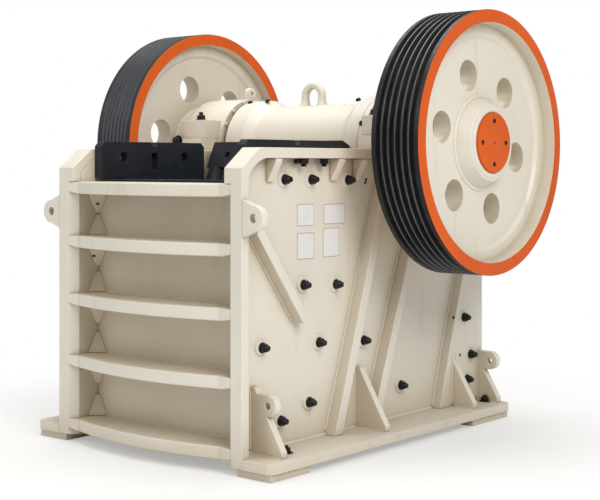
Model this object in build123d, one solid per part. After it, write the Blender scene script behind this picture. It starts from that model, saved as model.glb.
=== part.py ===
from build123d import *
from math import atan2, cos, hypot, radians, sin, tan
import os

# Jaw crusher, single toggle, about 550 x 900 mm feed opening.
# Millimetres, +Z up, +X towards the drive wheel, +Y from the feed end to the back.
# Every piece is drawn around the axle line (x = 0, y = 0, z = 0).
# The export step moves it so that the base stands at z = 0 and the part is centred.

# Whole machine
axle_height = 1473.0
front_reach = 1308.0
rear_reach = 654.0

# Side walls
wall_inner = 510.0
wall_thickness = 40.0
wall_top = -30.0
wall_bottom = -1438.0
wall_top_rear = 440.0
wall_rear_drop = 300.0
post_chamfer_height = 92.0
post_chamfer_length = 118.0
flange_thickness = 48.0
flange_outstand = 67.0
post_inner_chamfer = 40.0

# Raised pad at the rear of each side wall
rear_pad_rise = 55.0
rear_pad_top = -420.0
rear_pad_top_in = 94.0
rear_pad_knee_drop = 680.0
rear_pad_knee_in = 324.0
rear_pad_foot_in = 409.0

# Ribs on the side walls
rib_thickness = 56.0
brace_thickness = 50.0
brace_top = (-1187.0, -398.0)
brace_foot = (-866.0, -826.0)
long_rib_top = (-196.0, -84.0)
long_rib_foot = (-626.0, -1392.0)
short_rib_top = (66.0, -330.0)
short_rib_foot = (-338.0, -1392.0)

# Brackets under the top flange
bracket_thickness = 46.0
bracket_height = 108.0
bracket_toe = 14.0
bracket_places = (-1055.0, -596.0, -418.0)

# Front wall with bowed ribs
front_wall_setback = 162.0
front_wall_thickness = 40.0
rib_height = 60.0
rib_bow = 61.0
rib_end_chamfer = 34.0
rib_tops = (-191.0, -455.0, -740.0, -1042.0, -1355.0)
corner_gusset_leg = 72.0
corner_gusset_height = 100.0
corner_gusset_tip_share = 0.25

# Rear wall
rear_wall_front = 300.0
rear_wall_thickness = 40.0
rear_wall_top = -560.0
rear_rib_depth = 270.0
rear_rib_height = 40.0
rear_rib_tops = (-560.0, -785.0, -1010.0, -1235.0)

# Base rails and feet
rail_outstand = 171.0
rail_thickness = 43.0
rail_corner = 26.0
foot_inset = 14.0
front_foot_length = 262.0
rear_foot_length = 345.0
foot_inner = 577.0
foundation_hole_radius = 17.0
foundation_hole_in = 123.0
foundation_front_in = 238.0
foundation_rear_in = 67.0

# Upright gussets on the rails
gusset_thickness = 38.0
gusset_height = 296.0
gusset_foot = 160.0
gusset_toe = 26.0
gusset_front_in = 146.0
gusset_middle_place = -399.0
gusset_pad_in = 276.0
gusset_rear_in = 39.0
rail_lug_out = 104.0
rail_lug_drop = 74.0
rail_lug_radius = 48.0
rail_lug_hole_radius = 15.0
rear_lug_out = 136.0

# Round lugs on the front posts
post_lug_out = 63.0
post_lug_height = -340.0
post_lug_radius = 58.0
post_lug_hole_radius = 20.0
post_lug_thickness = 40.0
post_lug_root = 84.0

# Shaft
eccentricity = 12.0
journal_radius = 105.0
eccentric_radius = 130.0
wheel_seat_radius = 88.0
shaft_end_setback = 12.0
journal_half_length = 806.0
eccentric_half_length = 452.0
running_clearance = 0.08
fit_clearance = 0.3

# Bearing housings
housing_radius = 262.0
housing_inner = 541.0
housing_width = 189.0
housing_barrel_width = 255.0
housing_half_length = 378.0
housing_split = 37.0
housing_ear_height = 101.0
housing_ear_inset = 26.0
bearing_outer_radius = 178.0
bearing_cover_radius = 214.0
bearing_cover_thickness = 20.0
cap_lug_radius = 30.0
cap_lug_hole_radius = 9.0
cap_lug_rise = 34.0
cap_lug_thickness = 34.0

# Wheels
wheel_radius = 650.0
wheel_inner_face = 823.5
wheel_width = 266.5
rim_thickness = 63.0
web_recess = 83.0
ring_step = 16.0
ring_inner_radius = 513.0
hub_radius = 187.0
hub_root_radius = 226.0
hub_setback = 16.0
hub_back_reach = 10.0
wheel_hole_radius = 76.5
wheel_hole_circle = 343.0
wheel_hole_count = 6
wheel_hole_start = -12.0
belt_groove_count = 6
belt_groove_pitch = 38.0
belt_groove_width = 30.0
belt_groove_depth = 21.0
belt_groove_floor = 14.0
fine_groove_count = 8
fine_groove_pitch = 30.0
fine_groove_width = 14.0
fine_groove_depth = 8.0
fine_groove_floor = 6.0
hub_cap_radius = 147.0
hub_cap_thickness = 14.0
hub_cap_boss_radius = 84.0
hub_cap_boss_height = 1.8

# Jaw plates
jaw_width = 884.0
jaw_thickness = 80.0
jaw_tooth_depth = 34.0
jaw_tooth_count = 8
tooth_crest_share = 0.34
tooth_root_share = 0.26
fixed_jaw_top = -179.0
fixed_jaw_bottom = -1270.0
jaw_hook_rise = 12.0
feed_gape = 543.0
jaw_lean = 24.0
moving_jaw_top = -115.0
moving_jaw_bottom = -1245.0
retainer_length = 148.0
retainer_setback = 16.0
retainer_hole_radius = 17.0
retainer_hole_spacing = 318.0
retainer_hole_sink = 26.0

# Cheek plates
cheek_thickness = 50.0
cheek_front = -1170.0
cheek_rear = -440.0
cheek_top = 8.0
cheek_split = -430.0
cheek_gap = 4.0
cheek_corner = 24.0
cheek_hole_radius = 25.0
cheek_hole_drop = 78.0
cheek_hole_in = 150.0
cheek_slot_width = 40.0
cheek_slot_height = 84.0
cheek_slot_drop = 58.0
cheek_notch_depth = 22.0
lower_cheek_rear_top = -560.0
lower_cheek_bottom = -1230.0
lower_cheek_rear_bottom = -800.0

# Pitman
pitman_half_width = 440.0
barrel_radius = 226.0
collar_radius = 262.0
collar_width = 78.0
pitman_slab = 120.0
pitman_web_thickness = 46.0
pitman_web_places = (-417.0, -139.0, 139.0, 417.0)
pitman_back_share = 0.62
pitman_lip = 48.0
pitman_lip_cover = 52.0
pitman_cover_width = 36.0
pitman_cover_bore = 150.0
toggle_beam_depth = 250.0
toggle_beam_height = 210.0
toggle_pocket_depth = 96.0

# Toggle and tension gear
toggle_thickness = 60.0
toggle_half_width = 330.0
toggle_rise = 14.0
toggle_length = 470.0
opened_pivot_clearance = 32.0
toggle_block_height = 230.0
toggle_seat_depth = 40.0
rod_radius = 24.0
rod_spread = 390.0
rod_drop = 180.0
rod_front_reach = 922.0
rod_end_reach = 238.0
spring_radius = 46.0
spring_wire = 9.0
spring_length = 150.0
spring_turns = 7
spring_washer_radius = 62.0
spring_washer_thickness = 16.0
rod_nut_radius = 40.0
rod_nut_length = 34.0

# Lifting eye on the pitman
eye_place = -55.0
eye_rise = 54.0
eye_radius = 66.0
eye_hole_radius = 27.0
eye_thickness = 42.0
eye_root = 104.0
eye_root_height = 16.0

cut_overrun = 5.0

# Sizes worked out from the ones above
wall_outer = wall_inner + wall_thickness
frame_half_width = wall_outer + flange_outstand
post_front = -front_reach
rail_outer = frame_half_width + rail_outstand
rail_top = wall_bottom + rail_thickness
front_wall_face = post_front + front_wall_setback
front_wall_back = front_wall_face + front_wall_thickness
fixed_jaw_tip = front_wall_back + jaw_thickness
rear_wall_back = rear_wall_front + rear_wall_thickness
wheel_outer_face = wheel_inner_face + wheel_width
hub_face = wheel_outer_face - hub_setback
shaft_half_length = hub_face - shaft_end_setback
housing_outer = housing_inner + housing_width
housing_barrel_end = housing_inner + housing_barrel_width
lean_sin = sin(radians(jaw_lean))
lean_cos = cos(radians(jaw_lean))
jaw_ref_y = fixed_jaw_tip + feed_gape
jaw_top_shift = (moving_jaw_top - fixed_jaw_top) / lean_cos
jaw_plate_length = (moving_jaw_top - moving_jaw_bottom) / lean_cos
axis_drop = -eccentricity
gusset_places = (
    post_front + gusset_front_in,
    gusset_middle_place,
    rear_reach - gusset_pad_in,
    rear_reach - gusset_rear_in,
)
part_rear = rear_wall_back + rear_rib_depth + rod_end_reach
part_front = post_front - rib_bow
axle_place = Location((0, -(part_rear + part_front) / 2, axle_height))


def yz_plate(points, x_from, x_to):
    """A plate drawn as (y, z) points, between two x places."""
    face = make_face(Polyline(*points, close=True))
    plane = Plane(origin=(x_from, 0, 0), x_dir=(0, 1, 0), z_dir=(1, 0, 0))
    return extrude(plane * face, x_to - x_from)


def xz_plate(points, y_from, y_to):
    """A plate drawn as (x, z) points, between two y places."""
    face = make_face(Polyline(*points, close=True))
    plane = Plane(origin=(0, y_to, 0), x_dir=(1, 0, 0), z_dir=(0, -1, 0))
    return extrude(plane * face, y_to - y_from)


def xy_plate(face, z_from, z_to):
    """A flat sketch face raised between two heights."""
    return extrude(Plane(origin=(0, 0, z_from)) * face, z_to - z_from)


def block(x_from, x_to, y_from, y_to, z_from, z_to):
    """A box given by its limits."""
    centre = ((x_from + x_to) / 2, (y_from + y_to) / 2, (z_from + z_to) / 2)
    return Pos(*centre) * Box(x_to - x_from, y_to - y_from, z_to - z_from)


def disc_x(radius, x_from, x_to, y=0, z=0):
    """A cylinder along X between two x places."""
    plane = Plane(origin=(x_from, y, z), x_dir=(0, 1, 0), z_dir=(1, 0, 0))
    return extrude(plane * Circle(radius), x_to - x_from)


def disc_y(radius, y_from, y_to, x=0, z=0):
    """A cylinder along Y between two y places."""
    plane = Plane(origin=(x, y_to, z), x_dir=(1, 0, 0), z_dir=(0, -1, 0))
    return extrude(plane * Circle(radius), y_to - y_from)


def disc_z(radius, z_from, z_to, x=0, y=0):
    """A cylinder along Z between two heights."""
    return Pos(x, y, z_from) * extrude(Circle(radius), z_to - z_from)


def left_of(shape):
    """The same piece on the other side of the machine."""
    return mirror(shape, Plane.YZ)


def bar_points(start, end, thickness):
    """The four corners of a straight bar between two (y, z) points."""
    length = hypot(end[0] - start[0], end[1] - start[1])
    side_y = (end[1] - start[1]) / length * thickness / 2
    side_z = (start[0] - end[0]) / length * thickness / 2
    return [
        (start[0] + side_y, start[1] + side_z),
        (end[0] + side_y, end[1] + side_z),
        (end[0] - side_y, end[1] - side_z),
        (start[0] - side_y, start[1] - side_z),
    ]


def jaw_point(along, out):
    """The (y, z) place on the moving jaw: along goes down it, out goes to the feed side."""
    start_y = jaw_ref_y + jaw_top_shift * lean_sin
    y = start_y - along * lean_sin - out * lean_cos
    z = moving_jaw_top - along * lean_cos + out * lean_sin
    return (y, z)


def wall_outline(inset):
    """The side wall's edge as (y, z) points, drawn in from the flange's outside by an inset."""
    front = post_front + inset
    top = wall_top - inset
    rear = rear_reach
    slope = wall_rear_drop / (rear_reach - wall_top_rear)
    slant = inset * (hypot(1, slope) - slope)
    corner = inset * tan(atan2(post_chamfer_height, post_chamfer_length) / 2)
    steep = inset * tan(atan2(post_chamfer_length, post_chamfer_height) / 2)
    return [
        (front, wall_bottom),
        (front, wall_top - post_chamfer_height - steep),
        (post_front + post_chamfer_length + corner, top),
        (wall_top_rear - slant, top),
        (rear, wall_top - wall_rear_drop - inset * hypot(1, slope)),
        (rear, wall_bottom),
    ]


def rear_pad():
    """The raised thick area at the back of a side wall, with its leaning front edge."""
    points = [
        (rear_reach - rear_pad_top_in, rear_pad_top),
        (rear_reach - rear_pad_knee_in, rear_pad_top - rear_pad_knee_drop),
        (rear_reach - rear_pad_foot_in, rail_top),
        (rear_reach, rail_top),
        (rear_reach, rear_pad_top),
    ]
    return yz_plate(points, wall_outer, wall_outer + rear_pad_rise)


def housing_seat():
    """The round room for a bearing housing, right through wall and flange."""
    radius = housing_radius + fit_clearance
    return disc_x(radius, wall_inner - cut_overrun, frame_half_width + cut_overrun)


def side_wall():
    """The thick side plate with the round seat for its bearing and the raised rear pad."""
    wall = yz_plate(wall_outline(flange_thickness), wall_inner, wall_outer)
    return wall + rear_pad() - housing_seat()


def wall_flange():
    """The thick strip along the front post, the chamfer and the top of a side wall."""
    outer = wall_outline(0)
    inner = wall_outline(flange_thickness)
    strip = [outer[0], outer[1], outer[2], outer[3], inner[3], inner[2], inner[1], inner[0]]
    flange = yz_plate(strip, wall_inner, frame_half_width)
    edge = [
        (wall_inner - cut_overrun, post_front - cut_overrun),
        (wall_inner + post_inner_chamfer + cut_overrun, post_front - cut_overrun),
        (wall_inner - cut_overrun, post_front + post_inner_chamfer + cut_overrun),
    ]
    bevel = xy_plate(make_face(Polyline(*edge, close=True)), wall_bottom, rib_tops[0])
    return flange - housing_seat() - bevel


def side_ribs():
    """The slanting ribs on the outside of a side wall: one short brace and two long ribs."""
    brace_bar = bar_points(brace_top, brace_foot, brace_thickness)
    brace = yz_plate(brace_bar, wall_outer, frame_half_width)
    long_bar = bar_points(long_rib_top, long_rib_foot, rib_thickness)
    long_rib = yz_plate(long_bar, wall_outer, frame_half_width)
    short_bar = bar_points(short_rib_top, short_rib_foot, rib_thickness)
    short_rib = yz_plate(short_bar, wall_outer, frame_half_width)
    seat = housing_seat()
    under = block(wall_outer, frame_half_width, post_front, rear_reach, wall_bottom, rail_top)
    over_z = wall_top - flange_thickness
    over = block(wall_outer, frame_half_width, post_front, rear_reach, over_z, -over_z)
    return Compound(children=[brace, long_rib - seat - under - over, short_rib - seat - under - over])


def flange_brackets():
    """The triangular brackets between the top flange and both side walls."""
    top = wall_top - flange_thickness
    points = [
        (wall_outer, top),
        (frame_half_width, top),
        (frame_half_width, top - bracket_toe),
        (wall_outer + bracket_toe, top - bracket_height),
        (wall_outer, top - bracket_height),
    ]
    pieces = []
    for place in bracket_places:
        bracket = xz_plate(points, place - bracket_thickness / 2, place + bracket_thickness / 2)
        pieces.append(bracket)
        pieces.append(left_of(bracket))
    return Compound(children=pieces)


def front_wall():
    """The plain plate behind the front ribs."""
    return block(-wall_inner, wall_inner, front_wall_face, front_wall_back, wall_bottom, rib_tops[0])


def front_ribs():
    """The bowed horizontal ribs of the front wall, with chamfered ends against the posts."""
    end = wall_inner
    start_x = end - rib_end_chamfer
    start_y = post_front + post_inner_chamfer - rib_end_chamfer
    bow = ThreePointArc((start_x, start_y), (0, post_front - rib_bow), (-start_x, start_y))
    sides = Polyline(
        (-start_x, start_y),
        (-end, post_front + post_inner_chamfer),
        (-end, front_wall_face),
        (end, front_wall_face),
        (end, post_front + post_inner_chamfer),
        (start_x, start_y),
    )
    face = make_face(Wire([bow, *sides.edges()]))
    pieces = []
    for top in rib_tops:
        pieces.append(xy_plate(face, top - rib_height, top))
    return Compound(children=pieces)


def front_corner_gussets():
    """The small corner plates above and below the ribs, between front wall and side walls."""
    leg = corner_gusset_leg
    height = corner_gusset_height
    tip = leg * corner_gusset_tip_share
    pieces = []
    for upper, lower in zip(rib_tops[:-1], rib_tops[1:]):
        for base, rise in ((upper - rib_height, -height), (lower, height)):
            foot = Plane(origin=(wall_inner, front_wall_face, base))
            face = make_face(Polyline((0, 0), (-leg, 0), (0, -leg), close=True))
            tip_face = make_face(Polyline((0, 0), (-tip, 0), (0, -tip), close=True))
            gusset = loft([foot * face, foot.offset(rise) * tip_face])
            pieces.append(gusset)
            pieces.append(left_of(gusset))
    return Compound(children=pieces)


def rear_wall():
    """The plate that takes the toggle's push, with holes for the tension rods."""
    wall = block(-wall_inner, wall_inner, rear_wall_front, rear_wall_back, wall_bottom, rear_wall_top)
    for side in (-rod_spread, rod_spread):
        hole = disc_y(
            rod_radius + fit_clearance,
            rear_wall_front - cut_overrun,
            rear_wall_back + cut_overrun,
            side,
            rod_height,
        )
        wall -= hole
    return wall


def rear_ribs():
    """The horizontal ribs on the back of the rear wall."""
    pieces = []
    for top in rear_rib_tops:
        rib = block(
            -wall_inner, wall_inner,
            rear_wall_back, rear_wall_back + rear_rib_depth,
            top - rear_rib_height, top,
        )
        pieces.append(rib)
    return Compound(children=pieces)


def base_rail():
    """The broad flange that a side wall stands on, with its foundation holes."""
    corner = rail_corner
    outline = [
        (wall_outer, post_front + flange_thickness),
        (frame_half_width, post_front + flange_thickness),
        (frame_half_width, post_front),
        (rail_outer - corner, post_front),
        (rail_outer, post_front + corner),
        (rail_outer, rear_reach - corner),
        (rail_outer - corner, rear_reach),
        (wall_outer, rear_reach),
    ]
    rail = xy_plate(make_face(Polyline(*outline, close=True)), wall_bottom, rail_top)
    for place in (post_front + foundation_front_in, rear_reach - foundation_rear_in):
        rail -= disc_z(
            foundation_hole_radius,
            wall_bottom - cut_overrun,
            rail_top + cut_overrun,
            rail_outer - foundation_hole_in,
            place,
        )
    return rail


def rail_gusset(place, lug_out):
    """One upright plate on the rail. A lug distance of zero leaves the lifting ear off."""
    foot = frame_half_width - wall_outer + gusset_foot - post_inner_chamfer
    points = [
        (wall_outer, rail_top),
        (wall_outer + foot, rail_top),
        (wall_outer + foot, rail_top + gusset_toe),
        (wall_outer + gusset_toe, rail_top + gusset_height),
        (wall_outer, rail_top + gusset_height),
    ]
    y_from = place - gusset_thickness / 2
    y_to = place + gusset_thickness / 2
    plate = xz_plate(points, y_from, y_to)
    if lug_out:
        x = wall_outer + lug_out
        z = rail_top + gusset_height - rail_lug_drop
        plate += disc_y(rail_lug_radius, y_from, y_to, x, z)
        plate += block(wall_outer, x, y_from, y_to, z - rail_lug_radius, z + rail_lug_radius)
        plate -= disc_y(rail_lug_hole_radius, y_from - cut_overrun, y_to + cut_overrun, x, z)
    return plate


def rail_gussets():
    """The four gussets of one side: the first and the last carry a lifting ear."""
    pieces = [rail_gusset(gusset_places[0], rail_lug_out)]
    pieces.append(rail_gusset(gusset_places[1], 0))
    pieces.append(rail_gusset(gusset_places[2], 0))
    pieces.append(rail_gusset(gusset_places[3], rear_lug_out))
    pad = rear_pad()
    return Compound(children=[pieces[0], pieces[1], pieces[2] - pad, pieces[3] - pad])


def foot_pads():
    """The four pads that the rails stand on."""
    bottom = -axle_height
    outer = rail_outer - foot_inset
    front = post_front + foot_inset
    rear = rear_reach - foot_inset
    front_pad = block(foot_inner, outer, front, front + front_foot_length, bottom, wall_bottom)
    rear_pad_block = block(foot_inner, outer, rear - rear_foot_length, rear, bottom, wall_bottom)
    hole_x = rail_outer - foundation_hole_in
    for place in (post_front + foundation_front_in, rear_reach - foundation_rear_in):
        hole = disc_z(
            foundation_hole_radius,
            bottom - cut_overrun,
            wall_bottom + cut_overrun,
            hole_x,
            place,
        )
        front_pad -= hole
        rear_pad_block -= hole
    return Compound(children=[front_pad, rear_pad_block, left_of(front_pad), left_of(rear_pad_block)])


def upper_lugs():
    """The round lifting ears that stand out of the front posts."""
    x = frame_half_width + post_lug_out
    z = post_lug_height
    y_to = post_front + post_lug_thickness
    root = [
        (frame_half_width, z - post_lug_root),
        (x, z - post_lug_radius),
        (x, z + post_lug_radius),
        (frame_half_width, z + post_lug_root),
    ]
    ear = disc_y(post_lug_radius, post_front, y_to, x, z)
    ear += xz_plate(root, post_front, y_to)
    ear -= block(
        frame_half_width - post_lug_root, frame_half_width,
        post_front, y_to,
        z - post_lug_root, z + post_lug_root,
    )
    ear -= disc_y(post_lug_hole_radius, post_front - cut_overrun, y_to + cut_overrun, x, z)
    return Compound(children=[ear, left_of(ear)])


def bearing_base():
    """The lower half of a bearing housing, seated in the side wall's round notch."""
    barrel = disc_x(housing_radius, wall_inner, housing_barrel_end)
    feet = block(
        housing_inner, housing_outer,
        -housing_half_length, housing_half_length,
        wall_top, housing_split,
    )
    keep = block(
        wall_inner, housing_barrel_end,
        -housing_half_length, housing_half_length,
        -housing_radius, housing_split,
    )
    base = (barrel & keep) + feet
    bore = disc_x(bearing_outer_radius, wall_inner - cut_overrun, housing_barrel_end + cut_overrun)
    slot = block(
        wall_inner - cut_overrun, housing_barrel_end + cut_overrun,
        -bearing_outer_radius, bearing_outer_radius,
        0, housing_split + cut_overrun,
    )
    return base - bore - slot


def bearing_cap():
    """The upper half of a bearing housing, with bolted ears and a small lifting lug."""
    barrel = disc_x(housing_radius, wall_inner, housing_barrel_end)
    ear_end = housing_half_length - housing_ear_inset
    ear_top = housing_split + housing_ear_height
    ears = block(housing_inner, housing_outer, -ear_end, ear_end, housing_split, ear_top)
    keep = block(
        wall_inner, housing_barrel_end,
        -housing_half_length, housing_half_length,
        housing_split, housing_radius + housing_half_length,
    )
    cap = (barrel & keep) + ears
    lug_z = housing_radius + cap_lug_rise
    lug_end = wall_inner + cap_lug_thickness
    cap += disc_x(cap_lug_radius, wall_inner, lug_end, 0, lug_z)
    cap += block(wall_inner, lug_end, -cap_lug_radius, cap_lug_radius, housing_radius - cap_lug_rise, lug_z)
    cap -= disc_x(cap_lug_hole_radius, wall_inner - cut_overrun, lug_end + cut_overrun, 0, lug_z)
    return cap - disc_x(bearing_outer_radius, wall_inner - cut_overrun, housing_barrel_end + cut_overrun)


def ring_x(outer, bore, x_from, x_to, z=0):
    """A flat ring around the axle line."""
    return disc_x(outer, x_from, x_to, 0, z) - disc_x(bore, x_from - cut_overrun, x_to + cut_overrun, 0, z)


def bearing_covers():
    """The ring covers on the outer ends of both bearing housings."""
    cover = ring_x(
        bearing_cover_radius,
        journal_radius + eccentricity,
        housing_barrel_end,
        housing_barrel_end + bearing_cover_thickness,
    )
    return Compound(children=[cover, left_of(cover)])


def main_bearings():
    """The bearing rings between housing and shaft journal."""
    bearing = ring_x(
        bearing_outer_radius,
        journal_radius + running_clearance,
        housing_inner,
        housing_barrel_end,
    )
    return Compound(children=[bearing, left_of(bearing)])


def eccentric_shaft():
    """The shaft with its journals, its wheel seats and its eccentric middle."""
    journals = disc_x(journal_radius, -journal_half_length, journal_half_length)
    seats = disc_x(wheel_seat_radius, -shaft_half_length, shaft_half_length)
    middle = disc_x(eccentric_radius, -eccentric_half_length, eccentric_half_length, 0, axis_drop)
    return journals + seats + middle


def groove_points(centre, width, floor, depth):
    """A V groove in a wheel's tread as (x, radius) points."""
    return [
        (centre - width / 2, wheel_radius),
        (centre - floor / 2, wheel_radius - depth),
        (centre + floor / 2, wheel_radius - depth),
        (centre + width / 2, wheel_radius),
    ]


def wheel(count, pitch, width, floor, depth):
    """A spoked-hole wheel with a grooved tread, turned about the axle line."""
    inner = wheel_inner_face
    outer = wheel_outer_face
    rim = wheel_radius - rim_thickness
    web_in = inner + web_recess
    web_out = outer - web_recess
    middle = (inner + outer) / 2
    hub_in = inner + hub_back_reach
    profile = [(hub_in, wheel_seat_radius + fit_clearance), (hub_in, hub_radius)]
    profile.append((web_in, hub_root_radius))
    profile.append((web_in, ring_inner_radius))
    profile.append((web_in - ring_step, ring_inner_radius + ring_step))
    profile.append((web_in - ring_step, rim))
    profile.append((inner, rim))
    profile.append((inner, wheel_radius))
    for i in range(count):
        centre = middle + (i - (count - 1) / 2) * pitch
        profile.extend(groove_points(centre, width, floor, depth))
    profile.append((outer, wheel_radius))
    profile.append((outer, rim))
    profile.append((web_out + ring_step, rim))
    profile.append((web_out + ring_step, ring_inner_radius + ring_step))
    profile.append((web_out, ring_inner_radius))
    profile.append((web_out, hub_root_radius))
    profile.append((hub_face, hub_radius))
    profile.append((hub_face, wheel_seat_radius + fit_clearance))
    body = revolve(make_face(Polyline(*profile, close=True)), Axis.X)
    for i in range(wheel_hole_count):
        angle = radians(wheel_hole_start + i * 360 / wheel_hole_count)
        y = wheel_hole_circle * cos(angle)
        z = wheel_hole_circle * sin(angle)
        body -= disc_x(wheel_hole_radius, inner, outer, y, z)
    return body


def drive_wheel():
    """The wheel with the belt grooves."""
    return wheel(
        belt_groove_count, belt_groove_pitch,
        belt_groove_width, belt_groove_floor, belt_groove_depth,
    )


def flywheel():
    """The balancing wheel on the other side, with fine grooves."""
    body = wheel(
        fine_groove_count, fine_groove_pitch,
        fine_groove_width, fine_groove_floor, fine_groove_depth,
    )
    return left_of(body)


def hub_caps():
    """The round caps over the shaft's ends."""
    cap = disc_x(hub_cap_radius, hub_face, hub_face + hub_cap_thickness)
    boss_end = hub_face + hub_cap_thickness + hub_cap_boss_height
    cap += disc_x(hub_cap_boss_radius, hub_face, boss_end)
    return Compound(children=[cap, left_of(cap)])


def jaw_profile(width):
    """A corrugated jaw plate in plan: flat back at -thickness, tooth crests at 0."""
    root = -jaw_tooth_depth
    pitch = width / jaw_tooth_count
    flank = pitch * (1 - tooth_crest_share - tooth_root_share) / 2
    points = [(-width / 2, -jaw_thickness)]
    for i in range(jaw_tooth_count):
        start = -width / 2 + i * pitch
        half_root = pitch * tooth_root_share / 2
        points.append((start, root))
        points.append((start + half_root, root))
        points.append((start + half_root + flank, 0))
        points.append((start + half_root + flank + pitch * tooth_crest_share, 0))
        points.append((start + pitch - half_root, root))
    points.append((width / 2, root))
    points.append((width / 2, -jaw_thickness))
    clean = [points[0]]
    for point in points[1:]:
        if hypot(point[0] - clean[-1][0], point[1] - clean[-1][1]) > fit_clearance:
            clean.append(point)
    return make_face(Polyline(*clean, close=True))


def fixed_jaw_plate():
    """The upright corrugated plate, with a hooked top that lies on the front wall."""
    plane = Plane(origin=(0, fixed_jaw_tip, fixed_jaw_bottom), x_dir=(1, 0, 0), z_dir=(0, 0, 1))
    plate = extrude(plane * jaw_profile(jaw_width), fixed_jaw_top - fixed_jaw_bottom)
    hook = block(
        -jaw_width / 2, jaw_width / 2,
        front_wall_face, front_wall_back,
        rib_tops[0], rib_tops[0] + jaw_hook_rise,
    )
    return plate + hook


def moving_jaw_plane(along):
    """A work plane on the moving jaw: x across, y out to the feed, z down the jaw."""
    y, z = jaw_point(along, 0)
    return Plane(origin=(0, y, z), x_dir=(1, 0, 0), z_dir=(0, -lean_sin, -lean_cos))


def moving_jaw_plate():
    """The leaning corrugated plate on the pitman."""
    return extrude(moving_jaw_plane(0) * jaw_profile(jaw_width), jaw_plate_length)


def jaw_retainer():
    """The bar that holds the moving jaw plate's top, with sunk bolt holes."""
    half = jaw_width / 2
    section = make_face(Polyline(
        (-half, -jaw_thickness), (half, -jaw_thickness),
        (half, -retainer_setback), (-half, -retainer_setback),
        close=True,
    ))
    bar = extrude(moving_jaw_plane(-retainer_length) * section, retainer_length)
    for side in (-retainer_hole_spacing, retainer_hole_spacing):
        y, z = jaw_point(-retainer_length / 2, -retainer_setback + cut_overrun)
        plane = Plane(origin=(side, y, z), x_dir=(1, 0, 0), z_dir=(0, lean_cos, -lean_sin))
        bar -= extrude(plane * Circle(retainer_hole_radius), retainer_hole_sink + cut_overrun)
    return bar


def pitman_slab_points():
    """The pitman's leaning front slab with the lip below the jaw plate."""
    back = -jaw_thickness
    slab = back - pitman_slab
    end = jaw_plate_length
    return [
        jaw_point(-retainer_length, back),
        jaw_point(end, back),
        jaw_point(end, back + pitman_lip_cover),
        jaw_point(end + pitman_lip, back + pitman_lip_cover),
        jaw_point(end + pitman_lip, slab),
        jaw_point(-retainer_length, slab),
    ]


def toggle_seat():
    """Where the toggle plate's front end points: the pivot that the model leaves open."""
    return jaw_point(jaw_plate_length - toggle_beam_height / 2, -jaw_thickness - toggle_beam_depth)


def pitman_web_points():
    """The upright webs between the slab, the barrel and the toggle beam."""
    back = -jaw_thickness
    end = jaw_plate_length + pitman_lip
    barrel_back = barrel_radius * pitman_back_share
    return [
        jaw_point(-retainer_length / 2, back - pitman_slab / 2),
        jaw_point(end, back - pitman_slab / 2),
        jaw_point(end, back - toggle_beam_depth),
        jaw_point(end - toggle_beam_height, back - toggle_beam_depth),
        (barrel_back, -barrel_back + axis_drop),
        (0, axis_drop),
    ]


def pitman():
    """The swing jaw casting: barrel on the eccentric, leaning slab, webs and toggle beam."""
    half = pitman_half_width
    body = disc_x(barrel_radius, -half, half, 0, axis_drop)
    body += disc_x(collar_radius, half - collar_width, half, 0, axis_drop)
    body += disc_x(collar_radius, -half, collar_width - half, 0, axis_drop)
    body += yz_plate(pitman_slab_points(), -half, half)
    for place in pitman_web_places:
        start = place - pitman_web_thickness / 2
        body += yz_plate(pitman_web_points(), start, start + pitman_web_thickness)
    back = -jaw_thickness
    end = jaw_plate_length + pitman_lip
    beam = [
        jaw_point(end, back - pitman_slab / 2),
        jaw_point(end, back - toggle_beam_depth),
        jaw_point(end - toggle_beam_height, back - toggle_beam_depth),
        jaw_point(end - toggle_beam_height, back - pitman_slab / 2),
    ]
    body += yz_plate(beam, -half, half)
    half_gap = toggle_thickness / 2 + opened_pivot_clearance
    side_gap = toggle_half_width + opened_pivot_clearance
    seat_y, seat_z = toggle_seat()
    pocket = block(
        -side_gap, side_gap,
        -toggle_pocket_depth, toggle_pocket_depth,
        -half_gap, half_gap,
    )
    body -= Pos(0, seat_y, seat_z) * Rot(toggle_rise, 0, 0) * pocket
    bore_radius = eccentric_radius + running_clearance
    return body - disc_x(bore_radius, -half - cut_overrun, half + cut_overrun, 0, axis_drop)


def pitman_covers():
    """The bolted rings on the ends of the pitman's barrel."""
    cover = ring_x(
        collar_radius,
        pitman_cover_bore,
        pitman_half_width,
        pitman_half_width + pitman_cover_width,
        axis_drop,
    )
    return Compound(children=[cover, left_of(cover)])


def lifting_eye():
    """The cast eye on top of the pitman's barrel."""
    z = axis_drop + barrel_radius + eye_rise
    root_z = axis_drop + barrel_radius - eye_root_height
    root = [
        (eye_place - eye_root, root_z),
        (eye_place + eye_root, root_z),
        (eye_place + eye_root, root_z + eye_root_height + eye_root_height),
        (eye_place + eye_radius, z),
        (eye_place - eye_radius, z),
        (eye_place - eye_root, root_z + eye_root_height + eye_root_height),
    ]
    eye = xz_plate(root, -eye_thickness / 2, eye_thickness / 2)
    eye += disc_y(eye_radius, -eye_thickness / 2, eye_thickness / 2, eye_place, z)
    eye -= disc_y(eye_hole_radius, -eye_thickness, eye_thickness, eye_place, z)
    return eye - disc_x(barrel_radius + fit_clearance, -pitman_half_width, pitman_half_width, 0, axis_drop)


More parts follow.
